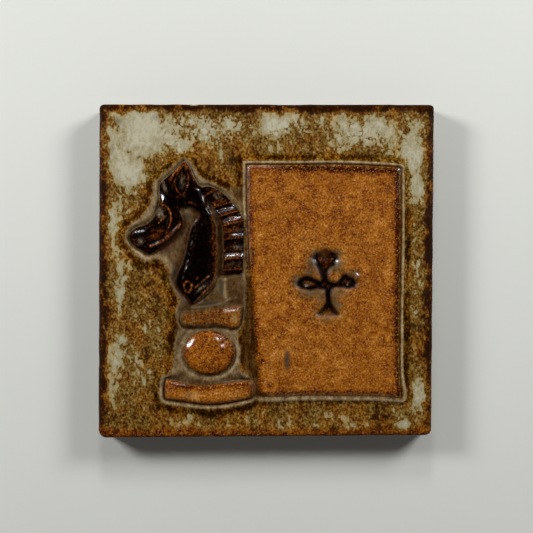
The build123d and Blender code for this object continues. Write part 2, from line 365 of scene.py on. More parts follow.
COLLAR = [
    (-25, -12.5), (-23, -12.2), (-19.6, -11.8), (-15.8, -11.2), (-12, -10.8), (-8.8, -10.2),
    (-7.2, -10.3), (-7.3, -12.6), (-7.6, -15.2), (-8.3, -16.7), (-9.8, -17.4), (-12, -17),
    (-15.2, -16.6), (-19, -16.9), (-23.6, -16.9), (-25.3, -16.1), (-25.8, -14.2),
]
FOOT = [
    (-30, -32.3), (-28, -32.7), (-24.6, -33.3), (-20.6, -34), (-16.8, -34), (-13, -33.5),
    (-9, -32.9), (-5.4, -32.6), (-3.9, -33.2), (-3.4, -35.2), (-3.9, -37.4), (-6, -38.4),
    (-9.6, -39.1), (-13.2, -39.7), (-17, -39.9), (-21, -39.6), (-25, -39), (-28.4, -38.6),
    (-30.1, -38.2), (-30.4, -35.4),
]
BALL_CENTRE = (-17.1, -24.4)
BALL_HALF_AXES = (7.8, 6.8)
VALLEY_PATCH = [(-12, 24.2), (-9.6, 24.6), (-7.2, 24.6), (-7, 20), (-7.2, 15.8), (-8.6, 19)]

# The dark hollow between the pedestal and the card
VALLEY = [
    (-5.9, -7), (-5, -9), (-4.7, -16), (-4.1, -22), (-3.4, -29), (-3, -34.6),
    (-4.4, -31.8), (-6.6, -29.9), (-7.5, -27.6), (-7.3, -24), (-7.5, -20.6), (-7.4, -17.6),
    (-6.6, -15.4), (-6.1, -11),
]
OUTLINES = {
    "card": CARD_CREST, "club": CLUB, "knight": KNIGHT_CREST, "head": HEAD, "neck": NECK, "ear": EAR,
    "ear_hollow": EAR_HOLLOW, "mane": MANE, "shelf": SHELF, "collar": COLLAR, "foot": FOOT,
    "patch": VALLEY_PATCH, "valley": VALLEY,
}

# The mane's locks, from the top: the crest of each from root to tip, and its height
LOCKS = [
    ((-18.6, 22.2), (-14.6, 24.6), 10.95), ((-16, 18.8), (-10.2, 20.6), 11),
    ((-14.8, 16), (-8.5, 17.9), 11.05), ((-13.4, 13.3), (-6.8, 15), 11.05),
    ((-12.9, 11.3), (-6.5, 12.2), 10.85), ((-12.8, 9.3), (-6.5, 10.1), 11.05),
    ((-12.8, 6), (-6.4, 6.5), 10.7), ((-12.8, 3.3), (-6.8, 3.9), 11.05),
    ((-12.9, 0.2), (-7, 0.5), 10.75),
]

# Lines of the fine carving
NOSTRIL_RING = [(-39.2, 9.4), (-38.9, 8), (-37.8, 7.2), (-36.4, 7.5)]
EYE_RIDGE = [(-31.4, 20.2), (-29.6, 19), (-28.5, 17), (-28.6, 14.6), (-29.2, 13)]
EYE_FOOT = [(-32, 14.4), (-31, 15.4), (-29.9, 16.4)]
JAW_RIDGE = [(-34.6, 7.4), (-32, 8.3), (-29.6, 9.8), (-27.4, 11.9), (-25.6, 14)]
NECK_RIDGE = [(-21, 15.2), (-21.4, 13.3), (-22.4, 8.6), (-23.2, 4.7), (-24, 1), (-24.6, -2.2)]
NECK_FOOT_INNER = [(-21.3, -5.2), (-17.2, -1.6)]
NECK_FOOT_OUTER = [(-21.6, -9.6), (-18, -6), (-16.3, -4), (-15.3, -2)]
CRATER_RING = [
    (-23.4, -3), (-22.3, -4), (-22.3, -5.5), (-23.4, -6.4), (-24.4, -5.4), (-24.5, -4),
    (-23.4, -3),
]
SHELF_CREST = [(-22, -11), (-17, -10.3), (-13, -9.5), (-11, -8.6)]
MANE_GROOVE = [(-14, 15.5), (-13.8, 8), (-13.9, 1), (-14.2, -1)]
CARD_MARKS = [(-1.6, 26.8), (1.2, -34.2), (-1.7, -27)]

# Ridges as (line, width, rise). A negative rise is a groove.
RIDGES = [
    ([(-20.9, 24.2), (-18.9, 20.6), (-17.2, 17.2)], 0.5, 0.42),
    ([(-16.4, 19.6), (-15.4, 17.6), (-14.9, 16.4)], 0.35, 0.25),
    ([(-35.6, 11.6), (-35, 9.4), (-33.4, 8.4)], 0.7, -0.45),
    ([(-30.2, 17), (-29.3, 15.7), (-29.6, 13.9), (-30.2, 12.3)], 0.5, -0.4),
    ([(-27.8, 11.3), (-30.6, 8.9), (-33.6, 7.4)], 0.35, -0.25),
    ([(-22.6, -6.8), (-20, -4.6), (-17.6, -2.6)], 0.8, -0.3),
    ([(-12.2, -3), (-12.3, -8)], 0.5, 0.3),
    ([(-13, -1.8), (-10.5, -1.4), (-8, -0.8)], 0.35, -0.5),
    (NOSTRIL_RING, 0.4, 0.2), (EYE_RIDGE, 0.45, 0.25), (EYE_FOOT, 0.45, 0.25),
    (JAW_RIDGE, 0.45, 0.3), (NECK_FOOT_INNER, 0.4, 0.28), (NECK_FOOT_OUTER, 0.4, 0.28),
    (CRATER_RING, 0.35, 0.2), (SHELF_CREST, 0.5, 0.3),
]

# Soft bumps as (x, y, half-width, half-height, tilt if any, rise). A negative rise is a hollow.
BUMPS = [
    (-37.7, 11.5, 2, 0.7, 14, 0.35), (-31, 22, 0.6, 1.3, 20, 0.4),
    (-31.5, 17.4, 1.5, 2, 25, -0.75), (-37.5, 9, 1.3, 1.4, -0.65),
    (-27.4, 16, 2, 3, 10, 0.45), (-23.4, -4.7, 0.7, 1.2, -0.35),
    (-23.5, 25.4, 0.5, 0.5, 0.2), (11.9, -4.3, 0.8, 0.8, 0.25), (24.3, -4, 0.7, 0.7, 0.25),
    (17.2, 3.4, 1, 1, 0.25), *((x, y, 1.2, 1.2, -0.15) for x, y in CARD_MARKS),
]

# Small flat faces that catch a light, as (x, y, half-width, half-height, tilt, azimuth they look to,
# height), and their slope
FACETS = [
    (-31, 22, 0.8, 1.5, 20, 152, 10.72), (-37.6, 11.9, 1.9, 0.7, 14, 92, 10.75),
    (-14.3, -20, 0.9, 0.55, -30, 38, 10.72), (-13, -21.9, 0.5, 0.9, 0, 38, 10.66),
    (-22.6, -21.6, 1.1, 0.6, 40, 152, 10.74), (-10.4, -11.6, 2.2, 0.5, 8, 92, 10.62),
    (27.2, -0.9, 0.9, 0.8, 0, 38, 10.3), (9.2, -2.4, 0.6, 0.9, 0, 152, 10.3),
    (14.8, -12.2, 0.7, 0.9, 0, 152, 10.3),
]
FACET_SLOPE = 0.53


def ball_depth():
    """How deep each point is inside the ball's oval outline, roughly in millimetres."""
    dx = (PX - BALL_CENTRE[0]) / BALL_HALF_AXES[0]
    dy = (PY - BALL_CENTRE[1]) / BALL_HALF_AXES[1]
    return (1.0 - np.hypot(dx, dy)) * min(BALL_HALF_AXES)


def lock_height(root, tip, crest_z):
    """A lock of hair: a sharp crest, a gently rounded face above it and a steep one below."""
    run = np.array(tip) - np.array(root)
    length = math.hypot(*run)
    ux, uy = run / length
    above = -(PX - root[0]) * uy + (PY - root[1]) * ux
    along = ((PX - root[0]) * ux + (PY - root[1]) * uy) / length
    bend = LOCK_BEND * np.maximum(along - 0.35, 0.0) ** 2
    return crest_z - bend - np.where(above > 0, LOCK_FALL * above ** 2, -LOCK_DROP * above)


def raise_to(z, form, inside_depth):
    """The ground raised to a form inside the form's outline, where the form stands higher."""
    return np.where(inside_depth > 0, np.maximum(z, form), z)


def blend_in(z, form, share):
    """The ground raised part of the way to a form, where the form stands higher."""
    return np.maximum(z, mix(z, form, share))


def measure_outlines():
    """How deep each grid point is inside every outline, by name, and two shares from 0 to 1."""
    depth = {name: inside(points) for name, points in OUTLINES.items()}
    depth["ball"] = ball_depth()
    # lipless is 1 beside the pedestal, where the card has no lip. neck_left is 1 left of the neck's axis.
    depth["lipless"] = step(-PY, -4.0, 6.0) * step(-PX, -1.0, 1.0)
    depth["neck_left"] = 1 - step(PX - NECK_AXIS_X - NECK_LEAN * PY, -1.5, 1.5)
    return depth


def knight_ground(z, depth):
    """The knight's lip, and the margin that slopes from it down to the forms."""
    knight = depth["knight"]
    forms = strongest(*(depth[n] for n in ("head", "neck", "ear", "mane", "collar", "foot", "ball")))
    gap = np.maximum(-forms, 0.0)
    z = mix(z, LIP_Z, step(knight, -KNIGHT_LIP_RUN, 0.2))
    share = knight / np.maximum(knight + gap, 1e-6)
    margin = mix(LIP_Z, MARGIN_Z, step(share, 0.2, 1.0))
    return np.where(knight > 0.1, np.minimum(z, margin), z)


def card_relief(z, depth):
    """The card: its lip, the groove inside it and its flat face with the sunk club."""
    card, lipless = depth["card"], depth["lipless"]
    crest = mix(LIP_Z, FIELD_Z - 0.25, lipless)
    z = mix(z, crest, step(card, -CARD_LIP_RUN, 0.1))
    face_wave = 0.05 * value_noise(PX, PY, 6.0, 21) + 0.03 * value_noise(PX, PY, 2.4, 22)
    groove = crest - GROOVE_DEPTH * step(card, 0.2, 0.6) * (1 - lipless)
    face = mix(groove, CARD_Z + face_wave, step(card, 0.7, 1.9))
    z = np.where(card < 0.0, z, face)
    return z - CLUB_DEPTH * step(depth["club"], -1.2, 1.1) * (card > 2)


def pedestal_relief(z, depth):
    """The shelf under the neck, the collar, the foot and the ball."""
    z = blend_in(z, SHELF_Z, step(depth["shelf"], 0.0, 0.8) * (depth["shelf"] > 0))
    for name, reach in (("collar", COLLAR_ROUND), ("foot", FOOT_ROUND)):
        form = mix(MARGIN_Z, BAR_Z, quarter_round(depth[name], reach))
        form = form + 0.06 * value_noise(PX, PY, 1.9, 14) * step(depth[name], 0.0, 1.0)
        z = raise_to(z, form, depth[name])
    ball = mix(MARGIN_Z, BALL_Z - BALL_SWELL, quarter_round(depth["ball"], BALL_ROUND))
    ball = ball + BALL_SWELL * step(depth["ball"], 0.0, min(BALL_HALF_AXES))
    return raise_to(z, ball, depth["ball"])


def horse_relief(z, depth):
    """The horse: bevels up to a beaded crest, a slightly hollow face inside it, and the mane's locks."""
    fine = value_noise(PX, PY, 0.8, 13)
    neck_left = depth["neck_left"]
    neck_round = mix(NECK_ROUND_RIGHT, NECK_ROUND_LEFT, neck_left)
    forms = (("head", HEAD_Z, HEAD_ROUND), ("neck", NECK_Z, neck_round), ("ear", EAR_Z, EAR_ROUND))
    for name, top, reach in forms:
        rise = quarter_round(depth[name], reach)
        if name == "neck":
            rise = mix(rise, step(depth[name], -0.4, 2.4), neck_left)
        beads = band(depth[name], reach, 0.4) * (0.10 + 0.10 * fine)
        dip = 0.12 * step(depth[name], reach, reach + 1.5)
        z = raise_to(z, mix(MARGIN_Z, top, rise) + beads - dip, depth[name])
    z = z - EAR_HOLLOW_DEPTH * step(depth["ear_hollow"], -0.25, 0.8)
    bed = mix(MARGIN_Z, MANE_BED_Z, quarter_round(depth["mane"], MANE_ROUND))
    z = raise_to(z, bed, depth["mane"])
    locks = strongest(*(lock_height(*lock) for lock in LOCKS)) + 0.05 * fine
    return blend_in(z, locks, step(depth["mane"], -0.1, 0.7))


def fine_carving(z):
    """The bumps, ridges and beads worked into the forms, and the facets cut into them."""
    for *spot, rise in BUMPS:
        z = z + rise * blob(*spot)
    for points, width, rise in RIDGES:
        z = z + rise * line_mask(points, width)
    beads = 0.55 + 0.45 * value_noise(PX, PY, 0.7, 15)
    z = z + 0.2 * beads * line_mask(NECK_RIDGE, 0.36)
    for x, y, half_x, half_y, tilt, azimuth, height in FACETS:
        turn = math.radians(azimuth)
        plane = height - FACET_SLOPE * ((PX - x) * math.cos(turn) + (PY - y) * math.sin(turn))
        z = np.where(blob(x, y, half_x, half_y, tilt) > 0.37, np.minimum(z, plane), z)
    return z


def shape_face(depth):
    """The height of every grid point above the back."""
    z = FIELD_Z + 0.10 * value_noise(PX, PY, 14.0, 11) + 0.04 * value_noise(PX, PY, 3.4, 12)
    z = knight_ground(z, depth)
    z = card_relief(z, depth)
    z = pedestal_relief(z, depth)
    z = horse_relief(z, depth)
    z = soften(fine_carving(z))
    arris = ARRIS_RADIUS * (1.0 - quarter_round(EDGE, ARRIS_RADIUS))
    return np.minimum(z - arris, TOP_Z)


# Soft patches of colour as (x, y, half-width, half-height, tilt if any, amount): the pale glaze on
# the ground,
CREAM_AND_GLINT_PATCHES = [
    (-36, 41, 13, 8.4, 1.25), (-42, 30, 5.4, 7, 15, 1.25), (-17, 43, 13, 4.8, 1.1),
    (-25, 37, 3.4, 5, 0.9), (4, 43.2, 12, 4.4, 1.05), (1.5, 38.5, 4.5, 4, 0.6),
    (29, 41.2, 12, 5.4, 1.1), (24, 40, 4.5, 6, 0.85), (43.6, 36, 4.2, 11, 1.05),
    (45, 25, 3.2, 5, 1), (-45, 12, 3.2, 17, 0.5), (-44, -6, 3.6, 8, 0.5),
    (-44.8, -26, 3.2, 13, 0.58), (-38.5, -30, 4, 3.6, 0.4), (45.5, 3, 2.4, 7, 0.5),
    (46.2, -38, 2.6, 9, 0.8), (42.6, -46.2, 3.4, 2.6, 0.75), (5.5, -46.6, 5, 2, 0.45),
    (19, -43.2, 2.4, 1.6, 0.5), (26, -46.8, 5, 1.4, 0.45), (-26, -45.5, 8, 2, 0.3),
    # The last two patches of this row are painted glints on the slab's edge.
    (-46, 44, 3, 5, 0.6), (-21.6, 49.7, 1.4, 0.35, 2.4), (-50.1, 46, 0.35, 1.6, 2.4),
]
# the brown that cuts into it,
BROWN_PATCHES = [
    (-13, 31.5, 8, 6, -10, 1), (-32, 30, 4.6, 2.8, 35, 1), (13.5, 36.5, 6.4, 4.4, 1),
    (34, 34.6, 5.4, 2.8, 0.9), (-20.8, 35, 1.6, 3, 0.6), (-6, 37, 4, 4, 0.7),
]
# the stretches where brown veins run through the cream,
VEIN_PATCHES = [
    (-14, 43, 18, 4.6, 1), (6, 43, 9, 4, 1), (29, 41, 11, 4.6, 1),
    (-29, 40, 5, 7, 0.8), (44, 40, 5, 6, 0.5),
]
# the paler places on the honey glaze,
TAN_PATCHES = [
    (2.4, -25, 5, 6, 0.55), (12, 9, 4.5, 3.5, 0.45), (36.4, 8, 1, 22, 0.35),
    (31, 13, 3, 3, 0.35), (-22.4, -37.2, 3.4, 1.8, 1.2), (-10, -37.2, 4, 1.4, 0.7),
    (-12, -14.6, 4, 1.8, 0.55), (-9.5, -14, 1.8, 2, 1.1), (-22, -15, 3, 2, 0.7),
    (-17, -26.4, 4, 2.4, 0.35), (22, -26, 9, 7, 0.25), (4, -3, 4, 10, 0.3),
]
# the grey film on the dark glaze and the grey smudges round it, with some painted sheen and a painted
# highlight on the horse,
ASH_AND_SHEEN_PATCHES = [
    (-31.8, 17.4, 1.6, 2.4, 25, 1.05), (-30.4, 25, 0.9, 2.6, 20, 0.9), (-37.6, 9, 1.4, 1.5, 0.9),
    (17.2, 3.6, 1.8, 1.4, 0.62), (11.9, -4.3, 0.8, 0.5, 1.6), (24.3, -4.1, 0.5, 0.4, 1.3),
    (-25.2, 26.8, 1.3, 3.4, 0.75), (12.6, -3.4, 1.6, 0.7, 0.5), (24.6, -3.2, 1.4, 0.8, 0.5),
    (6.1, -26.7, 0.9, 3.2, 1.9),
    (-17.5, -9.7, 4.4, 1, 10, 1.2), (-13.6, -5, 0.9, 2.8, 1.2), (-23.4, 16.6, 1.6, 2.2, 1),
    # Painted sheen: the patches on the neck's left slope and along the mane's locks. Painted highlight:
    # the thin patch on the cheek.
    (-27.4, -0.6, 1, 2.8, 1), (-25.8, 8, 0.8, 5, -12, 0.8),
    (-29.6, 14.6, 0.6, 2.2, -15, 0.7), (-14.4, 22.4, 2.6, 1.2, -25, 0.7),
    (-12.6, 18.6, 2.4, 0.7, 20, 0.6), (-9, 7, 3, 1.3, 0.6), (-9.8, 2, 3, 1.5, 0.6),
    (-24.4, 5, 0.8, 5, -10, 0.5), (-19.4, -5, 3.2, 0.9, 42, 0.8), (-10, 12.6, 2.6, 0.7, 10, 0.5),
    (-10.4, 15.8, 2.4, 0.6, 12, 0.5), (-44.5, 45, 1.8, 1.4, 0.9), (-33, 46, 2.2, 1.2, 0.8),
    (-46, 37, 1, 2.6, 0.7), (-41, 43, 3, 1.2, 20, 0.45),
]
# the painted taupe shade around the club, and the places in it where the dark glaze is thin,
HALO_PATCHES = [
    (13, 1.2, 2.2, 2.6, 0.8), (13.6, -7.6, 4.2, 2.2, 0.9), (21.6, -8.4, 2, 3, 0.9),
    (18.4, -14.6, 4, 1.2, 0.35), (20.8, 1.2, 2.2, 2, 0.8), (8.8, -3, 1.4, 1.8, 0.8),
    (26.6, -0.6, 1.8, 1.2, 0.8), (21.6, 5.6, 1.6, 1.6, 0.5), (14, 6, 1.4, 1, 0.4),
]
CLUB_PALE = [
    (18.4, -12.8, 2.4, 1.2, 0.45), (19.4, 0.4, 0.9, 1.2, 0.6), (17.2, 5.4, 2, 0.8, 0.4),
]
# the pale film where the glaze runs thin,
PALE_PATCHES = [
    (-23.2, 17.8, 2, 1, -20, 0.6), (-22.4, 14.6, 0.7, 2, 0.5), (-25.4, 8, 0.8, 5, -12, 0.35),
    (-28, 3.4, 1.4, 2.4, 0.3), (-14, -5, 0.6, 2.8, 0.4), (-26.2, -18.4, 1.6, 2.2, 0.7),
    (-26.6, -28.6, 1.8, 2.6, 0.6), (-9, -18.6, 1.4, 1.8, 0.7), (-9, -30.2, 2, 1.6, 0.7),
    (-20, -31.8, 7, 0.9, 0.5), (-26, -9.4, 1.4, 1.6, 0.5), (-26.2, -13.6, 0.8, 2.4, 0.6),
]
# and the rust where the dark glaze breaks.
RUST_PATCHES = [
    (-32.8, 11.4, 3.6, 2.2, 20, 0.62), (-30, 10, 3.4, 1.6, 35, 0.55), (-24.8, 27.4, 1.4, 3.6, 0.5),
    (-24, 31, 1, 1.8, 0.6), (-14, 21.6, 3, 2.4, 0.5), (-10, 14, 3.4, 5, 0.62),
    (-10, 4, 3.4, 5, 0.55), (-39.6, 8.6, 1.2, 2, 0.4),
    (-16.2, 8, 1.1, 9, 0.45), (-20.6, -2.1, 0.5, 0.5, 0.9), (-22.3, 20.4, 0.7, 0.5, 0.7),
    (-30.8, 19.4, 1.6, 0.8, -40, 0.5), (-20.6, 16.6, 0.7, 1.2, 0.5),
]

# Lines as (points, width, amount): where the dark glaze breaks rust,
RUST_LINES = [
    (JAW_RIDGE, 0.45, 0.8), (EYE_RIDGE, 0.4, 0.7), (EYE_FOOT, 0.4, 0.8), (CRATER_RING, 0.4, 1),
    (NECK_FOOT_INNER, 0.35, 0.7), (NECK_FOOT_OUTER, 0.4, 0.8),
    ([(-14.9, 12), (-14.8, 5), (-15.1, 0), (-15.8, -3.4)], 0.45, 0.7),
    ([(-24.7, 32.6), (-27.3, 29.4), (-28.8, 26.8)], 0.4, 0.7),
    ([(-24.5, 32.6), (-22.7, 30), (-21.4, 27)], 0.4, 0.6),
]
# and where the honey glaze is burnt dark
BURN_LINES = [
    ([(39.4, 30.6), (39.4, 0), (39.2, -20), (39.6, -37)], 1.05, 1),
    ([(-28, -33.9), (-20, -34.9), (-12, -34.3), (-6, -33.6)], 0.7, 0.7),
    ([(-24, -12.9), (-14, -11.8), (-8, -11)], 0.5, 0.6),
]

# Where the glaze is smooth enough to throw a clear highlight: soft patches, then lines
SHINE_PATCHES = [
    (14.3, 3.8, 1, 1, 1), (20.9, 3.5, 0.9, 1, 1), (27.2, -0.9, 1.3, 1.1, 0.7),
    (9.2, -2.4, 1, 1.2, 0.45), (14.8, -12.2, 1.2, 1.2, 0.4), (39.8, 30.5, 0.8, 0.8, 0.8),
    (-14.3, -20, 1.2, 0.8, 1), (-13, -21.9, 0.8, 0.9, 0.9), (-23.6, 25.4, 0.6, 0.6, 0.6),
]
SHINE_LINES = [
    ([(-31.4, 22.9), (-30.6, 21.2)], 0.7, 1), ([(-39.2, 11.5), (-36.2, 12.3)], 0.6, 1),
    ([(-20.4, 24.2), (-18.5, 20.6), (-16.8, 17.3)], 0.42, 1), ([(-16.1, 19.4), (-14.9, 16.6)], 0.4, 1),
    ([(-34.5, 7.5), (-30, 9.5), (-26, 13.5)], 0.5, 0.45),
    ([(-15, 17.6), (-10, 19.2)], 0.7, 1), ([(-12, 15), (-7.3, 16.6)], 0.7, 1),
    ([(-9.6, 11.2), (-6.6, 12.2)], 0.7, 0.9), ([(-9.6, 10.6), (-7, 11.2)], 0.6, 0.9),
    ([(-12.1, 4.4), (-7.2, 5)], 0.7, 1), ([(-8.9, 8.2), (-7.6, 7.6)], 0.7, 0.7),
    ([(-21.3, -5.2), (-17.2, -1.6)], 0.5, 0.5), ([(-21.3, -9.2), (-18, -6), (-15.3, -2)], 0.5, 0.5),
    ([(-23.4, -22.3), (-21.8, -20.9)], 0.7, 1), ([(-12.2, -11.8), (-8.5, -11.3)], 0.7, 0.9),
    ([(-27.5, -33.4), (-24, -33.8)], 0.6, 0.6), ([(-12.6, -33.4), (-6.8, -32.7)], 0.6, 0.6),
    ([(-5, 31.6), (-4.6, 22)], 0.4, 0.45), ([(39.4, 27), (39.4, 23)], 0.5, 0.6),
]


def lines_mask(lines, smooth=True):
    """The strongest of a list of lines at each grid point."""
    return strongest(*(amount * line_mask(points, width, smooth) for points, width, amount in lines))


def cream_and_glints_mask():
    """The pale glaze that floats on the ground, and the brown that cuts into it; two of the patches are
    painted glints on the slab's edge.
    """
    cream_and_glints = patch_mask(CREAM_AND_GLINT_PATCHES)
    for *spot, amount in BROWN_PATCHES:
        cream_and_glints = cream_and_glints * (1 - amount * blob(*spot))
    return cream_and_glints


def pool_and_shade_mask(depth):
    """Darker ground round the figures and beside the card's face: glaze pooled at the foot of the relief,
    and painted shade there.
    """
    relief = np.maximum(depth["knight"], depth["card"])
    pool_and_shade = band(relief, -1.4, 1.1) * (0.74 + 0.26 * value_noise(PX, PY, 7.0, 41))
    pool_and_shade = pool_and_shade * (1 - 0.6 * step(-PY, 36.0, 40.0) * step(PX, -6.0, 2.0))
    beside = band(depth["card"], 1.3, 0.9) * depth["lipless"] * step(-PX, -1.0, 1.0)
    return np.clip(np.maximum(pool_and_shade, beside), 0, 1)


def halo_mask(depth):
    """Painted shade, taupe, on the card around the club."""
    ring = step(depth["club"], -4.6, -0.6) * (depth["card"] > 2)
    return ring * np.minimum(0.2 + 1.5 * patch_mask(HALO_PATCHES), 1.0)


def honey_mask(depth, halo, low_edge):
    """The orange glaze of the card, collar, foot and ball, which fades at the collar's left end."""
    card = step(depth["card"], 0.9, 1.3) * (1 - halo)
    collar_fade = mix(1.6, 0.6, step(PX, -24.0, -17.0))
    collar = mix(0.5, 0.74, step(PX, -19.0, -10.0)) * step(depth["collar"], 0.05, collar_fade)
    foot, ball = (step(depth[name], 0.05, 0.45) for name in ("foot", "ball"))
    return strongest(card, collar, foot, ball, 0.8 * low_edge)


def black_mask(depth):
    """The black glaze of the horse and the club."""
    neck = mix(step(depth["neck"], -0.1, 0.3), step(depth["neck"], -0.7, 1.2), depth["neck_left"])
    horse = [step(depth[name], -0.1, 0.3) for name in ("head", "ear", "mane")]
    club = 0.95 * step(depth["club"], -1.1, 0.6) * (depth["card"] > 2) * (1 - patch_mask(CLUB_PALE))
    return strongest(neck, *horse, club)


def taupe_mask(depth, halo):
    """The grey-brown film of the knight's margin, and the painted shade around the club."""
    margin = step(depth["knight"], -0.5, 0.3) * (1 - step(depth["card"], -0.6, 0.4))
    margin = margin * (1 - step(depth["valley"], -0.6, 0.6))
    return strongest(margin, step(depth["patch"], -1.2, 0.4), halo)


def lip_mask(depth, halo):
    """The pale film where the glaze runs thin: the lips, the ring round the ball and the shelf."""
    beside_mane = step(-PX, 3.0, 5.0) * step(16 - PY, -2, 4)
    low_side = step(-PY, 30.0, 36.0)
    card_lip = 1.2 * band(depth["card"], -mix(0.05, 0.35, low_side), mix(0.42, 0.62, low_side))
    card_lip = card_lip * (1 - depth["lipless"] * step(-PX, 1.6, 3.0)) * (1 - 0.7 * beside_mane)
    above_neck = step(PY, -6.0, 6.0)
    knight_lip = band(depth["knight"], mix(0.2, 0.9, above_neck), mix(0.6, 1.35, above_neck))
    strength = mix(0.6, 1.0, above_neck) + 0.3 * step(-PY, 29.0, 33.0)
    knight_lip = strength * knight_lip * (1 - step(depth["card"], -1.0, 0.0))
    ball_ring = 0.85 * band(depth["ball"], -0.9, 0.9)
    shelf = 0.85 * np.maximum(line_mask(SHELF_CREST, 0.6), line_mask([(-12.2, -2.6), (-12.3, -8.0)], 0.6))
    lip = strongest(card_lip, knight_lip, ball_ring, shelf, patch_mask(PALE_PATCHES), 0.22 * halo)
    return np.clip(lip, 0, 1.4)


def painted_shade_mask(depth):
    """Painted shade, deep brown, in the valley, in the grooves and under and beside the raised forms."""
    card, lipless = depth["card"], depth["lipless"]
    beside_face = step(card, -2.6, -1.6) * (1 - step(card, 1.0, 1.6)) * lipless * step(-PX, -1.0, 1.0)
    jaw_width = mix(0.5, 1.6, step(-PY, -16.0, -12.0) * step(PX, -36.0, -32.0))
    jaw_strength = mix(0.5, 0.95, step(-PY, -16.0, -13.0))
    dark = strongest(
        0.6 * step(depth["valley"], -0.8, 0.6),
        0.6 * beside_face,
        0.75 * line_mask(MANE_GROOVE, 1.0),
        0.35 * blob(-9.0, -4.8, 2.6, 3.0),
        0.9 * band(depth["neck"], -0.2, 1.3) * depth["neck_left"],
        jaw_strength * band(depth["head"], -0.2, jaw_width),
        0.5 * band(depth["mane"], -0.3, 0.4),
        band(card, 0.62, 0.26) * (1 - lipless),
        0.5 * band(depth["foot"], -0.1, 0.3),
        0.3 * band(depth["collar"], -0.1, 0.3),
    )
    return np.clip(dark, 0, 1)


def burn_and_shade_mask(depth, low_edge):
    """Where the honey glaze is darker: burnt on the bars, the ball, the marks and the low edge, darker
    along the card's edges, with painted shade in the bands inside its top and left edges.
    """
    card = depth["card"]
    # Painted shade under the card's top edge, beside its groove.
    card_top = line_mask([(-3.0, 30.9), (6.0, 31.0), (39.6, 30.3)], 1.3) * step(PX, -6.0, 8.0)
    burn_and_shade = strongest(
        card_top,
        lines_mask(BURN_LINES),
        # Painted shade inside the card's left edge, beside the hollow.
        0.55 * band(card, 1.6, 0.7) * step(-PX, -2.0, 2.0),
        0.5 * band(card, 1.8, 0.5) * step(-PY, 30.0, 34.0),
        *(0.6 * blob(x, y, 0.9) for x, y in CARD_MARKS),
        mix(0.5, 0.3, step(PX, -20.0, -10.0)) * step(depth["collar"], 0.0, 0.6),
        0.5 * band(depth["ball"], 0.4, 0.5),
        0.24 * step(depth["ball"], 0.0, 0.6),
        0.5 * low_edge,
    )
    return np.clip(burn_and_shade, 0, 1)


def tan_mask():
    """The paler places on the honey glaze, and a pale ring round each mark on the card."""
    rings = [0.5 * band(np.hypot(PX - x, PY - y), 1.6, 0.4) for x, y in CARD_MARKS]
    return np.clip(strongest(patch_mask(TAN_PATCHES), *rings), 0, 1)


def rust_mask(z, depth):
    """Where the dark glaze breaks rust: in patches, along ridges and locks, and on every crest."""
    locks = [0.75 * line_mask([root, tip], 0.3, smooth=False) for root, tip, _ in LOCKS]
    ear_hollow = 0.5 * band(depth["ear_hollow"], 0.0, 0.4)
    club_floor = 0.6 * step(depth["club"], 0.7, 1.5)
    rust = strongest(patch_mask(RUST_PATCHES), lines_mask(RUST_LINES), *locks, ear_hollow, club_floor)
    crests = np.clip(3.0 * (z - soften(z, 10)), 0.0, 0.3)
    return np.clip(rust + crests, 0, 1)


def shine_mask():
    """Where the glaze is smooth enough to throw a clear highlight."""
    neck_beads = step(value_noise(PX, PY, 0.6, 51), -0.3, 0.5) * line_mask(NECK_RIDGE, 0.3)
    lines = lines_mask(SHINE_LINES, smooth=False)
    return np.clip(strongest(patch_mask(SHINE_PATCHES), lines, neck_beads), 0, 1)


def edge_mask():
    """The brown glaze along the slab's edge."""
    edge = 1 - step(EDGE + 0.9 * value_noise(PX, PY, 2.2, 31), 1.2, 3.4)
    return edge * (mix(0.55, 1.1, step(PY, -48.5, -46.0)) + 0.25 * step(PY, 45.0, 48.5))


def paint_face(z, depth):
    """Where each glaze lies on the grid points: soft masks by name."""
    halo = halo_mask(depth)
    low_edge = 1 - step(PY + 0.8 * value_noise(PX, PY, 5.0, 44), -48.2, -46.6)
    return {
        "cream_and_glints": cream_and_glints_mask(),
        "veins": patch_mask(VEIN_PATCHES),
        "pool_and_shade": pool_and_shade_mask(depth),
        "honey": honey_mask(depth, halo, low_edge),
        "black": black_mask(depth),
        "taupe": taupe_mask(depth, halo),
        "lip": lip_mask(depth, halo),
        # The dark mask is painted shade: in the hollows, in the grooves and under the raised forms.
        "dark": painted_shade_mask(depth),
        "burn_and_shade": burn_and_shade_mask(depth, low_edge),
        "tan": tan_mask(),
        "ash_and_sheen": np.clip(patch_mask(ASH_AND_SHEEN_PATCHES), 0, 1),
        "rust": rust_mask(z, depth),
        "shine": shine_mask(),
        "edge": edge_mask(),
    }


def srgb(red, green, blue):
    """A colour as the eye writes it, turned into the shader's own scale."""
    def one(value):
        return value / 12.92 if value <= 0.04045 else ((value + 0.055) / 1.055) ** 2.4
    return (one(red), one(green), one(blue), 1.0)


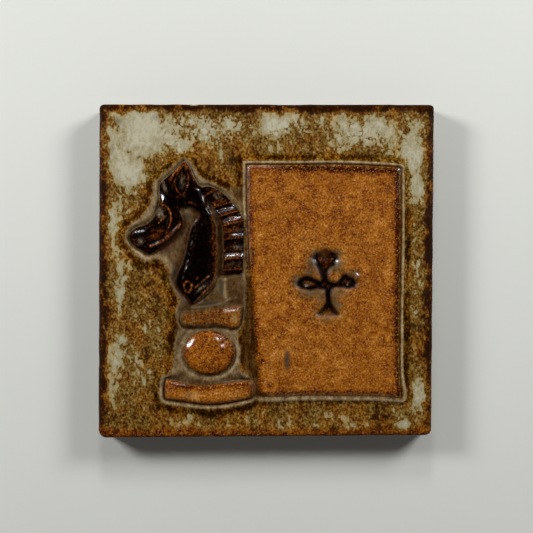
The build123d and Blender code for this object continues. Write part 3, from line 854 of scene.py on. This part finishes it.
# Each glaze as a ramp of (place, colour), from where it is thick and dark to where it is thin and pale
GROUND = [
    (0.00, srgb(0.10, 0.045, 0.00)), (0.22, srgb(0.23, 0.13, 0.01)), (0.40, srgb(0.40, 0.27, 0.06)),
    (0.53, srgb(0.45, 0.37, 0.18)), (0.64, srgb(0.525, 0.48, 0.34)), (0.80, srgb(0.57, 0.54, 0.435)),
    (1.00, srgb(0.64, 0.615, 0.53)),
]
GROUND_WARM = [
    (0.00, srgb(0.12, 0.045, 0.00)), (0.22, srgb(0.26, 0.12, 0.00)), (0.40, srgb(0.43, 0.26, 0.03)),
    (0.55, srgb(0.52, 0.36, 0.11)), (0.70, srgb(0.58, 0.46, 0.22)), (0.85, srgb(0.63, 0.55, 0.38)),
    (1.00, srgb(0.70, 0.64, 0.50)),
]
HONEY = [
    (0.00, srgb(0.17, 0.04, 0.00)), (0.20, srgb(0.38, 0.17, 0.00)), (0.40, srgb(0.50, 0.275, 0.01)),
    (0.60, srgb(0.60, 0.37, 0.10)), (0.80, srgb(0.71, 0.51, 0.27)), (1.00, srgb(0.84, 0.70, 0.52)),
]
TAUPE = [
    (0.00, srgb(0.19, 0.09, 0.01)), (0.25, srgb(0.27, 0.185, 0.08)), (0.50, srgb(0.37, 0.29, 0.175)),
    (0.75, srgb(0.50, 0.42, 0.30)), (1.00, srgb(0.65, 0.58, 0.45)),
]
BLACK = [
    (0.00, srgb(0.010, 0.004, 0.004)), (0.35, srgb(0.05, 0.02, 0.01)), (0.60, srgb(0.24, 0.10, 0.02)),
    (0.85, srgb(0.40, 0.21, 0.07)), (1.00, srgb(0.54, 0.36, 0.20)),
]
# The grey film, which also paints the sheen on the horse's dark glaze.
ASH_AND_SHEEN = [
    (0.00, srgb(0.12, 0.08, 0.05)), (0.50, srgb(0.22, 0.175, 0.125)), (1.00, srgb(0.45, 0.39, 0.32)),
]
# Grey-green of the smudges, which also paints the sheen on the slope left of the neck.
SMUDGE_AND_SHEEN = srgb(0.18, 0.185, 0.145)
FLECK = srgb(0.78, 0.60, 0.40)
OLIVE = srgb(0.50, 0.45, 0.29)
CLAY = srgb(0.66, 0.55, 0.45)
CLAY_DARK = srgb(0.53, 0.43, 0.34)
FLOOR_DARK = srgb(0.755, 0.76, 0.74)
FLOOR_PALE = srgb(0.77, 0.775, 0.755)

# The clay is bare below these heights, and the edge of the glaze wavers about them.
CLAY_TOP_Z = 1.9
CLAY_FULL_Z = 1.6
CLAY_WAVER = 3.0

# Soft lights as (name, azimuth, distance in millimetres, size in millimetres, watts)
LIGHT_ELEVATION = 34
SOFTBOXES = [
    ("softbox_left", 152, 600, 150, 2.8),
    ("softbox_right", 38, 600, 190, 2.9),
    ("top_light", 92, 700, 110, 1.3),
]

# The tent's brightness falls from its walls to its roof, between these heights of the view direction.
TENT_HEIGHTS = (0.45, 0.8)
TENT_WALLS = 0.36
TENT_ROOF = 0.0
WHITE = (1.0, 1.0, 1.0, 1.0)


class Nodes:
    """A short way to write a shader's node tree."""

    def __init__(self, tree):
        self.tree = tree
        self.tree.nodes.clear()
        self.position = self.new("TexCoord").outputs["Object"]

    def feed(self, value, socket):
        """Links a socket to another, or sets it to a plain value."""
        if isinstance(value, bpy.types.NodeSocket):
            self.tree.links.new(value, socket)
        else:
            socket.default_value = value

    def new(self, kind, **inputs):
        """A node whose named inputs are fed. An underscore stands for a space in an input's name."""
        node = self.tree.nodes.new("ShaderNode" + kind)
        for name, value in inputs.items():
            self.feed(value, node.inputs[name.replace("_", " ")])
        return node

    def attribute(self, name):
        node = self.new("Attribute")
        node.attribute_name = name
        return node.outputs["Fac"]

    def noise(self, size_mm, detail=2.0, roughness=0.5, stretch=(1, 1, 1), distortion=0.0):
        place = self.new("Mapping", Scale=stretch, Vector=self.position).outputs["Vector"]
        noise = self.new("TexNoise", Scale=1.0 / (size_mm * MM), Detail=detail, Roughness=roughness,
                         Distortion=distortion, Vector=place)
        return noise.outputs["Fac"]

    def veins(self, size_mm, waver):
        """Nearness to the borders of a net of cells, bent by a noise."""
        swirl = self.new("TexNoise", Scale=1.0 / (0.5 * size_mm * MM), Vector=self.position)
        bend = self.new("VectorMath")
        bend.operation = "SCALE"
        self.feed(swirl.outputs["Color"], bend.inputs[0])
        self.feed(waver * MM, bend.inputs["Scale"])
        place = self.new("VectorMath")
        place.operation = "ADD"
        self.feed(self.position, place.inputs[0])
        self.feed(bend.outputs["Vector"], place.inputs[1])
        net = self.new("TexVoronoi", Scale=1.0 / (size_mm * MM), Vector=place.outputs["Vector"])
        net.feature = "DISTANCE_TO_EDGE"
        return self.between(net.outputs["Distance"], 0.16, 0.02)

    def between(self, source, low, high, out_low=0.0, out_high=1.0):
        """A smooth rise from out_low to out_high as source goes from low to high."""
        node = self.new("MapRange", Value=source, From_Min=low, From_Max=high, To_Min=out_low,
                        To_Max=out_high)
        node.interpolation_type = "SMOOTHSTEP"
        return node.outputs["Result"]

    def math(self, operation, first, second):
        node = self.new("Math")
        node.operation = operation
        self.feed(first, node.inputs[0])
        self.feed(second, node.inputs[1])
        return node.outputs["Value"]

    def times(self, first, second):
        return self.math("MULTIPLY", first, second)

    def weigh(self, base, parts):
        """A base value plus each part times its weight."""
        total = base
        for part, weight in parts:
            total = self.math("ADD", self.times(part, weight), total)
        return total

    def stir(self, base, noises, parts=()):
        """As weigh, with noises that push the value up and down about it."""
        return self.weigh(base - 0.5 * sum(weight for _, weight in noises), [*noises, *parts])

    def ragged(self, mask, noises, low, high):
        """A mask cut at an edge that the noises push back and forth."""
        return self.between(self.stir(0.0, noises, [(mask, 1.0)]), low, high)

    def ramp(self, value, stops):
        node = self.new("ValToRGB", Fac=value)
        elements = node.color_ramp.elements
        while len(elements) < len(stops):
            elements.new(0.5)
        for element, (place, colour) in zip(elements, stops):
            element.position = place
            element.color = colour
        return node.outputs["Color"]

    def blend(self, share, low, high):
        """A colour from low to high as share goes from 0 to 1."""
        node = self.new("Mix", Factor=share)
        node.data_type = "RGBA"
        self.feed(low, node.inputs[6])
        self.feed(high, node.inputs[7])
        return node.outputs[2]

    def finish(self, colour, roughness, bump_height, bump_mm):
        bump = self.new("Bump", Distance=bump_mm * MM, Height=bump_height).outputs["Normal"]
        shader = self.new("BsdfPrincipled", Base_Color=colour, Roughness=roughness, Normal=bump)
        self.new("OutputMaterial", Surface=shader.outputs["BSDF"])
        return shader


class Glaze(Nodes):
    """The tile's glaze: its masks, three sizes of noise and the layers that they mix."""

    def __init__(self, tree, mask_names):
        super().__init__(tree)
        self.masks = {name: self.attribute(name) for name in mask_names}
        # cover is where the taupe film, the pale lips or the painted shade of the dark mask lie.
        self.cover = self.math("MAXIMUM", self.masks["taupe"], self.masks["lip"])
        self.cover = self.math("MAXIMUM", self.cover, self.masks["dark"])
        self.grain = self.noise(0.52, 1.5, 0.6, (1.0, 0.75, 1.0))
        self.coarse = self.noise(1.6, 2.0, 0.6, (1.0, 0.6, 1.0))
        self.broad = self.noise(5.0, 3.0, 0.6, (1.0, 0.5, 1.0))

    def ground(self):
        """Brown, paler where the cream glaze floats and at two painted glints on the edge, darker beside
        the relief, where glaze pools and shade is painted, and along the edges.
        """
        masks, coarse = self.masks, self.coarse
        veins = self.times(self.veins(3.6, 4.0), masks["veins"])
        veins = self.times(veins, self.between(coarse, 0.4, 0.6))
        # The pool mask darkens the ground beside the relief with pooled glaze and painted shade.
        patchy = self.stir(0.41, [(coarse, 1.0), (self.broad, 1.0)], [
            (masks["cream_and_glints"], 0.46), (masks["pool_and_shade"], -0.36), (masks["edge"], -0.36), (veins, -0.5),
        ])
        rim = self.times(self.between(patchy, 0.42, 0.52), self.between(patchy, 0.64, 0.54))
        calm = self.between(patchy, 0.75, 0.45, 0.5, 1.0)
        speckle = self.times(self.math("SUBTRACT", self.grain, 0.5), calm)
        thin = self.weigh(0.0, [(patchy, 1.0), (speckle, 1.12), (rim, -0.18)])
        warmth = self.between(self.noise(6.0, 2.0, 0.5, (1.0, 0.6, 1.3)), 0.40, 0.60)
        warm = self.weigh(0.02, [(warmth, 0.7), (masks["edge"], 0.6)])
        warm = self.between(self.math("SUBTRACT", warm, self.times(masks["cream_and_glints"], 0.8)), 0.0, 1.0)
        return self.blend(warm, self.ramp(thin, GROUND), self.ramp(thin, GROUND_WARM))

    def add_film(self, colour):
        """The taupe film of the margins, the pale lips and the painted shade of the hollows."""
        lip, dark = self.masks["lip"], self.masks["dark"]
        # The dark mask deepens the film as painted shade.
        film = self.stir(0.28, [(self.grain, 0.6), (self.coarse, 0.9)], [(lip, 0.48), (dark, -0.32)])
        share = self.ragged(self.cover, [(self.coarse, 0.5), (self.grain, 0.4)], 0.15, 0.85)
        return self.blend(share, colour, self.ramp(film, TAUPE))

    def add_honey(self, colour):
        """Honey glaze of the card, collar, ball and foot, with pale flecks and olive places, and painted
        shade in its hollows and inside the card's top and left edges.
        """
        masks, grain = self.masks, self.grain
        mottle = self.noise(2.6, 2.5, 0.6, distortion=0.6)
        honey = self.stir(0.385, [(grain, 1.15), (mottle, 0.8), (self.broad, 0.5)], [
            (masks["burn_and_shade"], -0.44), (masks["tan"], 0.16),
        ])
        colour = self.blend(masks["honey"], colour, self.ramp(honey, HONEY))
        fleck = self.between(self.noise(0.42, 1.0, 0.5), 0.56, 0.80, 0.0, 0.6)
        colour = self.blend(self.times(fleck, masks["honey"]), colour, FLECK)
        olive = self.ragged(masks["tan"], [(self.coarse, 1.3), (grain, 1.7)], 0.4, 1.9)
        colour = self.blend(self.times(olive, 0.8), colour, OLIVE)
        # Painted shade where the dark mask lies on the honey glaze.
        return self.blend(self.times(masks["dark"], masks["honey"]), colour, TAUPE[0][1])

    def add_smudges_and_sheen(self, colour):
        """Grey smudges under the black glaze, and painted sheen on the slope left of the neck."""
        smudge_and_sheen = self.ragged(self.masks["ash_and_sheen"], [(self.coarse, 1.1), (self.grain, 1.3)], 0.3, 1.3)
        return self.blend(self.times(smudge_and_sheen, 0.82), colour, SMUDGE_AND_SHEEN)

    def add_black(self, colour):
        """Black glaze of the horse and the club, breaking rust and filmed with ash, with painted sheen in
        places.
        """
        masks, grain, coarse = self.masks, self.grain, self.coarse
        dark = self.ramp(self.stir(0.02, [(grain, 1.6), (coarse, 0.8)], [(masks["rust"], 0.8)]), BLACK)
        film = self.ramp(self.stir(0.0, [(grain, 1.3), (coarse, 0.6)], [(masks["ash_and_sheen"], 0.75)]), ASH_AND_SHEEN)
        dark = self.blend(self.ragged(masks["ash_and_sheen"], [(grain, 0.9), (coarse, 0.5)], 0.25, 0.9), dark, film)
        return self.blend(self.ragged(masks["black"], [(grain, 1.0)], 0.1, 0.9), colour, dark)

    def bare_clay(self):
        """1 on the bare clay at the foot of the sides and on the back, with a wavering edge."""
        height = self.new("SeparateXYZ", Vector=self.position).outputs["Z"]
        waver = self.times(self.math("SUBTRACT", self.broad, 0.5), CLAY_WAVER * MM)
        return self.between(self.math("ADD", height, waver), CLAY_TOP_Z * MM, CLAY_FULL_Z * MM)


def new_material(name):
    material = bpy.data.materials.new(name)
    material.use_nodes = True
    return material


def new_object(name, data):
    piece = bpy.data.objects.new(name, data)
    bpy.context.scene.collection.objects.link(piece)
    return piece


def glaze_material(mask_names):
    """The reactive glaze: every layer over the last, then how rough and how glossy it is."""
    material = new_material("reactive_glaze")
    glaze = Glaze(material.node_tree, mask_names)
    colour = glaze.ground()
    for layer in (glaze.add_film, glaze.add_honey, glaze.add_smudges_and_sheen, glaze.add_black):
        colour = layer(colour)
    bare = glaze.bare_clay()
    colour = glaze.blend(bare, colour, glaze.blend(glaze.grain, CLAY_DARK, CLAY))

    masks = glaze.masks
    rough = glaze.weigh(0.34, [
        (masks["shine"], -0.22), (masks["black"], -0.04), (masks["edge"], 0.10), (glaze.cover, 0.12),
        (bare, 0.4), (masks["pool_and_shade"], 0.2),
    ])
    gloss = glaze.weigh(0.34, [
        (masks["shine"], 0.95), (masks["black"], -0.26), (masks["edge"], -0.24), (glaze.cover, -0.2),
        (masks["pool_and_shade"], -0.8), (masks["burn_and_shade"], -0.36),
    ])
    surface = glaze.weigh(0.0, [(glaze.grain, 0.5), (glaze.coarse, 1.0)])
    shader = glaze.finish(colour, rough, surface, 0.06)
    glaze.feed(gloss, shader.inputs["Specular IOR Level"])
    return material


def tile_mesh(z):
    """One closed mesh: the face grid, four sides and the back. Gives it with its rim of grid points."""
    rows, columns = PX.shape
    face_points = np.stack([PX, PY, z], axis=-1).reshape(-1, 3)
    index = np.arange(rows * columns).reshape(rows, columns)
    faces = [
        (index[j, i], index[j, i + 1], index[j + 1, i + 1], index[j + 1, i])
        for j in range(rows - 1) for i in range(columns - 1)
    ]
    rim = np.concatenate([index[0, :-1], index[:-1, -1], index[-1, :0:-1], index[:0:-1, 0]])
    points = [face_points]
    count = len(face_points)
    last = rim
    for height, inset in SIDE_RINGS:
        ring = face_points[rim].copy()
        ring[:, 2] = height
        ring[:, :2] -= inset * np.sign(ring[:, :2])
        points.append(ring)
        current = count + np.arange(len(rim))
        faces.extend(zip(last, current, np.roll(current, -1), np.roll(last, -1)))
        last = current
        count += len(rim)
    faces.append(tuple(last[::-1]))

    mesh = bpy.data.meshes.new(PIECE)
    mesh.from_pydata((np.vstack(points) * MM).tolist(), [], [tuple(int(i) for i in f) for f in faces])
    mesh.update()
    mesh.shade_smooth()
    return mesh, rim


def build_tile():
    """The whole glazed tile as one piece. No cream glaze runs down its sides."""
    depth = measure_outlines()
    z = shape_face(depth)
    masks = paint_face(z, depth)
    mesh, rim = tile_mesh(z)
    for name, mask in masks.items():
        grid = mask.reshape(-1)
        side = np.tile(grid[rim] * (name != "cream_and_glints"), len(SIDE_RINGS))
        data = mesh.attributes.new(name, "FLOAT", "POINT")
        data.data.foreach_set("value", np.concatenate([grid, side]).astype(np.float32))
    piece = new_object(PIECE, mesh)
    piece.data.materials.append(glaze_material(masks.keys()))
    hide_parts(NODE)
    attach(piece, "root")


def build_floor():
    """A plain pale floor under the tile."""
    half = 1.5
    mesh = bpy.data.meshes.new("floor")
    corners = [(-half, -half, 0), (half, -half, 0), (half, half, 0), (-half, half, 0)]
    mesh.from_pydata(corners, [], [(0, 1, 2, 3)])
    floor = new_object("floor", mesh)
    material = new_material("floor_paper")
    paper = Nodes(material.node_tree)
    shade = paper.blend(paper.noise(60.0, 2.0), FLOOR_DARK, FLOOR_PALE)
    roughness = paper.between(paper.noise(30.0), 0.0, 1.0, 0.8, 0.9)
    paper.finish(shade, roughness, paper.noise(0.5), 0.01)
    mesh.materials.append(material)


def add_softbox(name, azimuth, distance_mm, size_mm, watts):
    """A square soft light that faces the tile from the given azimuth, in degrees."""
    light = bpy.data.lights.new(name, "AREA")
    light.shape = "SQUARE"
    light.size = size_mm * MM
    light.energy = watts
    lamp = new_object(name, light)
    turn = math.radians(azimuth)
    lift = math.radians(LIGHT_ELEVATION)
    flat = math.cos(lift) * distance_mm * MM
    place = Vector((flat * math.cos(turn), flat * math.sin(turn), math.sin(lift) * distance_mm * MM))
    lamp.location = place
    lamp.rotation_euler = (-place).to_track_quat("-Z", "Y").to_euler()


def light_scene():
    """Two soft lights low at the sides, a fainter one beyond the top edge, and a pale, open tent."""
    for softbox in SOFTBOXES:
        add_softbox(*softbox)
    world = bpy.data.worlds.new("tent")
    world.use_nodes = True
    tent = Nodes(world.node_tree)
    direction = tent.new("TexCoord").outputs["Generated"]
    height = tent.new("SeparateXYZ", Vector=direction).outputs["Z"]
    strength = tent.between(height, *TENT_HEIGHTS, TENT_WALLS, TENT_ROOF)
    background = tent.new("Background", Color=WHITE, Strength=strength)
    tent.new("OutputWorld", Surface=background.outputs["Background"])
    bpy.context.scene.world = world


def place_camera():
    """A camera that looks straight down on the face, framed as the photograph is."""
    frame_px = 533
    tile_centre_px = (266.3, 271.0)
    px_per_mm = 3.343
    lens = 85.0
    sensor = 36.0
    distance = frame_px / px_per_mm * lens / sensor
    camera_data = bpy.data.cameras.new("camera")
    camera_data.lens = lens
    camera_data.sensor_width = sensor
    camera = new_object("camera", camera_data)
    offset_x = (frame_px / 2 - tile_centre_px[0]) / px_per_mm
    offset_y = (tile_centre_px[1] - frame_px / 2) / px_per_mm
    camera.location = (offset_x * MM, offset_y * MM, (FIELD_Z + distance) * MM)
    bpy.context.scene.camera = camera


build_tile()
build_floor()
light_scene()
place_camera()
bpy.context.scene.view_settings.view_transform = "Standard"
